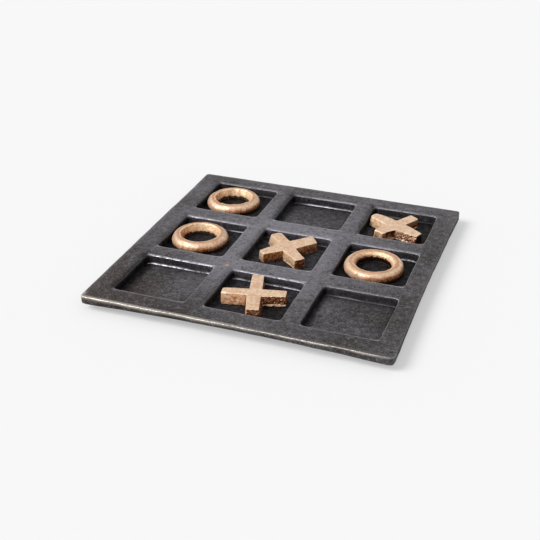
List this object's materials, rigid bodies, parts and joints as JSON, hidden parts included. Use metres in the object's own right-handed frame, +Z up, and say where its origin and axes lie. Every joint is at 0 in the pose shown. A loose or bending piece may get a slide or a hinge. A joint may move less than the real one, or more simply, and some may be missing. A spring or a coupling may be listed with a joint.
{
  "type": "tic-tac-toe board",
  "caption": "Square cast-metal tic-tac-toe tray with a grid of sunk square pockets and loose cast crosses and rings that lift out.",
  "frame": {"origin": "middle of the footprint, on the table under the felt pads", "axes": "+Z up out of the pockets, -Y towards the front edge, +X to the right"},
  "size_m": [0.3, 0.3, 0.015],
  "materials": {
    "blackened_casting": "sand-cast, blackened, worn bright on the edges",
    "brass_piece": "sand-cast, matte, brown in the pits",
    "felt": "black felt"
  },
  "bodies": {
    "tray": {"board": "blackened_casting", "felt_pad_front_left": "felt", "felt_pad_front_right": "felt", "felt_pad_back_left": "felt", "felt_pad_back_right": "felt"},
    "cross_centre": {"cross_centre": "brass_piece"},
    "cross_front": {"cross_front": "brass_piece"},
    "cross_back_right": {"cross_back_right": "brass_piece"},
    "ring_back_left": {"ring_back_left": "brass_piece"},
    "ring_middle_left": {"ring_middle_left": "brass_piece"},
    "ring_middle_right": {"ring_middle_right": "brass_piece"}
  },
  "joints": [
    {"name": "cross_centre_lift", "type": "slide", "parent": "tray", "child": "cross_centre", "axis": [0, 0, 1], "range_m": [0, 0.06]},
    {"name": "cross_front_lift", "type": "slide", "parent": "tray", "child": "cross_front", "axis": [0, 0, 1], "range_m": [0, 0.06]},
    {"name": "cross_back_right_lift", "type": "slide", "parent": "tray", "child": "cross_back_right", "axis": [0, 0, 1], "range_m": [0, 0.06]},
    {"name": "ring_back_left_lift", "type": "slide", "parent": "tray", "child": "ring_back_left", "axis": [0, 0, 1], "range_m": [0, 0.06]},
    {"name": "ring_middle_left_lift", "type": "slide", "parent": "tray", "child": "ring_middle_left", "axis": [0, 0, 1], "range_m": [0, 0.06]},
    {"name": "ring_middle_right_lift", "type": "slide", "parent": "tray", "child": "ring_middle_right", "axis": [0, 0, 1], "range_m": [0, 0.06]}
  ]
}
